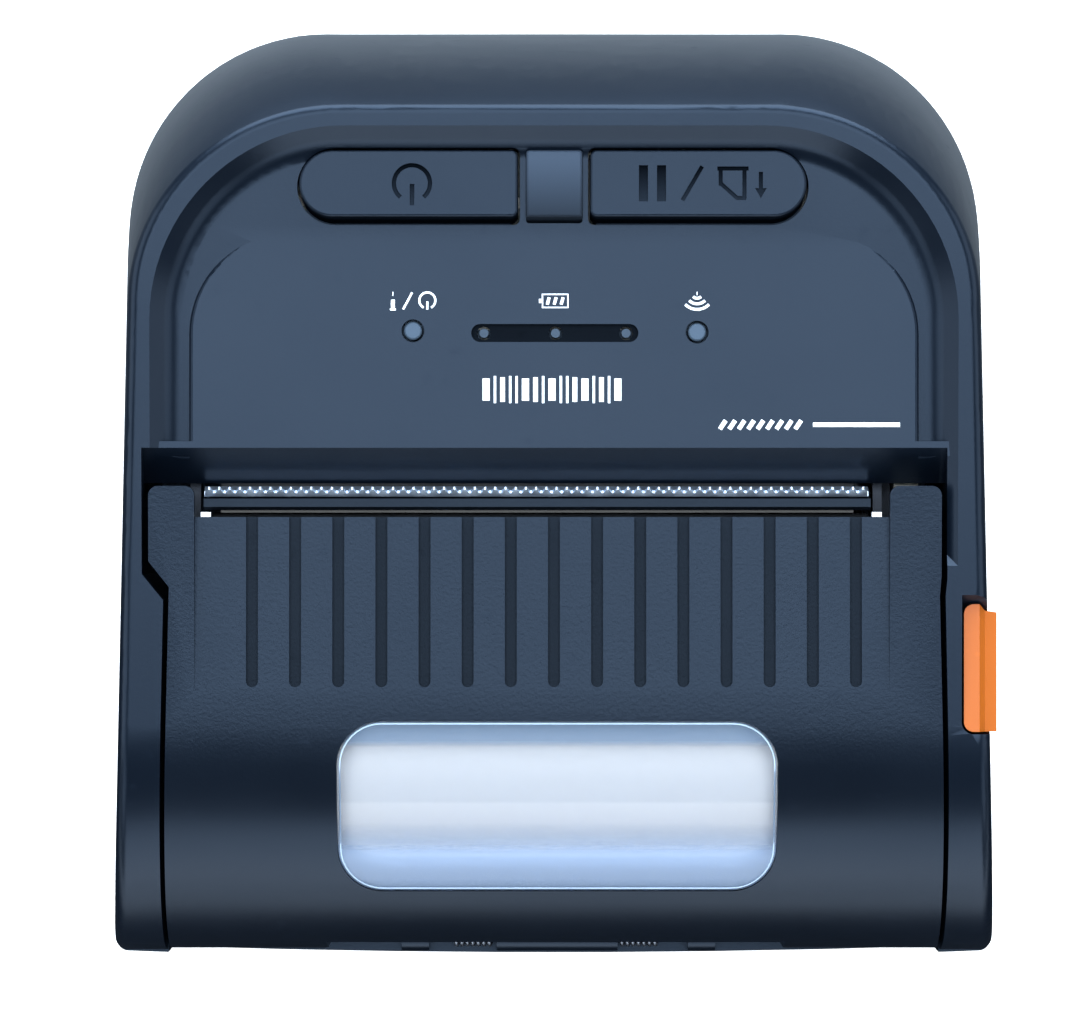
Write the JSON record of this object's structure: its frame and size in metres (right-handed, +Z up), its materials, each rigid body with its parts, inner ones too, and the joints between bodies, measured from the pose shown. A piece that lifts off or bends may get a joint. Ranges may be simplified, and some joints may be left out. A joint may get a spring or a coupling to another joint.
{
  "type": "portable label printer",
  "caption": "Portable thermal label printer with a hinged roll cover, clear window, tear bar, keys, lights, release lever and battery.",
  "frame": {"origin": "centre of the base, on the surface the printer lies on", "axes": "+Z up through the control panel, +Y towards the rear with the keys, -Y towards the cover hinge, +X towards the release lever"},
  "size_m": [0.1108, 0.1172, 0.053],
  "materials": {
    "casing_plastic": "fine matt moulding",
    "cover_plastic": "fine grained moulding",
    "key_rubber": "soft touch",
    "block_plastic": "satin",
    "light_guide": "frosted",
    "blade_steel": "ground",
    "black_plastic": "moulded",
    "orange_plastic": "satin",
    "window_plastic": "clear moulding",
    "label_paper": "coated paper",
    "core_board": "wound board",
    "platen_rubber": "ground rubber",
    "shaft_steel": "turned",
    "spring_steel": "drawn wire",
    "sheet_steel": "zinc plated",
    "heat_sink_metal": "extruded",
    "head_ceramic": "glazed",
    "gear_plastic": "moulded",
    "brass": "turned",
    "motor_can": "drawn can",
    "board": "solder mask",
    "battery_plastic": "moulded",
    "flap_rubber": "moulded",
    "plate_film": "plain film"
  },
  "bodies": {
    "casing": {"lower_casing": "casing_plastic", "upper_casing": "casing_plastic", "centre_block": "block_plastic", "status_light_guide": "light_guide", "wireless_light_guide": "light_guide", "battery_light_guides": "light_guide", "tear_bar": "blade_steel", "paper_guide": "black_plastic", "thermal_head": "head_ceramic", "heat_sink": "heat_sink_metal", "head_springs": "spring_steel", "head_bracket": "sheet_steel", "gear_plate": "sheet_steel", "paper_feed_motor": "motor_can", "idler_stud": "shaft_steel", "media_tray": "black_plastic", "gap_sensor": "black_plastic", "hinge_pin": "shaft_steel", "hinge_springs": "spring_steel", "main_board": "board", "key_board": "board", "key_switches": "black_plastic", "indicator_lights": "light_guide", "usb_socket": "black_plastic", "power_socket": "black_plastic", "battery_contacts": "brass", "casing_screws": "shaft_steel", "base_inserts": "brass", "rating_plate": "plate_film", "lever_spring": "spring_steel"},
    "cover": {"media_cover": "cover_plastic", "window": "window_plastic", "platen_bushes": "black_plastic", "edge_pins": "shaft_steel"},
    "platen": {"platen_shaft": "shaft_steel", "platen_rubber": "platen_rubber", "platen_gear": "gear_plastic"},
    "idler": {"idler_gear": "gear_plastic"},
    "pinion": {"motor_pinion": "brass"},
    "roll": {"label_roll": "label_paper", "roll_core": "core_board"},
    "power_key": {"power_button": "key_rubber"},
    "feed_key": {"feed_button": "key_rubber"},
    "lever": {"release_lever": "orange_plastic", "latch_shaft": "shaft_steel", "latch_hooks": "shaft_steel"},
    "battery": {"battery_pack": "battery_plastic", "battery_terminals": "brass"},
    "battery_catch": {"battery_latch": "battery_plastic"},
    "port_flap": {"port_cover": "flap_rubber"}
  },
  "joints": [
    {"name": "cover_hinge", "type": "hinge", "parent": "casing", "child": "cover", "pos_m": [0, -0.0564, 0.007], "axis": [1, 0, 0], "range_deg": [0, 100]},
    {"name": "platen_spin", "type": "hinge", "parent": "cover", "child": "platen", "pos_m": [0, -0.0066, 0.041], "axis": [1, 0, 0], "continuous": true},
    {"name": "idler_spin", "type": "hinge", "parent": "casing", "child": "idler", "pos_m": [0, -0.00036, 0.03187], "axis": [1, 0, 0], "continuous": true},
    {"name": "motor_spin", "type": "hinge", "parent": "casing", "child": "pinion", "pos_m": [0, 0.00308, 0.02241], "axis": [1, 0, 0], "continuous": true},
    {"name": "roll_spin", "type": "hinge", "parent": "casing", "child": "roll", "pos_m": [0, -0.0308, 0.0239], "axis": [1, 0, 0], "continuous": true},
    {"name": "power_press", "type": "slide", "parent": "casing", "child": "power_key", "axis": [0, 0, -1], "range_m": [0, 0.0005], "stiffness_N_per_m": 400},
    {"name": "feed_press", "type": "slide", "parent": "casing", "child": "feed_key", "axis": [0, 0, -1], "range_m": [0, 0.0005], "stiffness_N_per_m": 400},
    {"name": "lever_lift", "type": "hinge", "parent": "casing", "child": "lever", "pos_m": [0, 0.01, 0.034], "axis": [-1, 0, 0], "range_deg": [0, 5], "stiffness_Nm_per_rad": 0.05},
    {"name": "battery_slide", "type": "slide", "parent": "casing", "child": "battery", "axis": [0, 0, -1], "range_m": [0, 0.025]},
    {"name": "battery_latch_slide", "type": "slide", "parent": "casing", "child": "battery_catch", "axis": [0, -1, 0], "range_m": [0, 0.0015], "stiffness_N_per_m": 200},
    {"name": "port_flap_hinge", "type": "hinge", "parent": "casing", "child": "port_flap", "pos_m": [-0.0537, 0.03, 0.0043], "axis": [0, -1, 0], "range_deg": [0, 85], "stiffness_Nm_per_rad": 0.002}
  ],
  "couplings": [
    {"joint": "idler_spin", "follows": "platen_spin", "ratio": -0.57143},
    {"joint": "motor_spin", "follows": "platen_spin", "ratio": 1.3333}
  ]
}
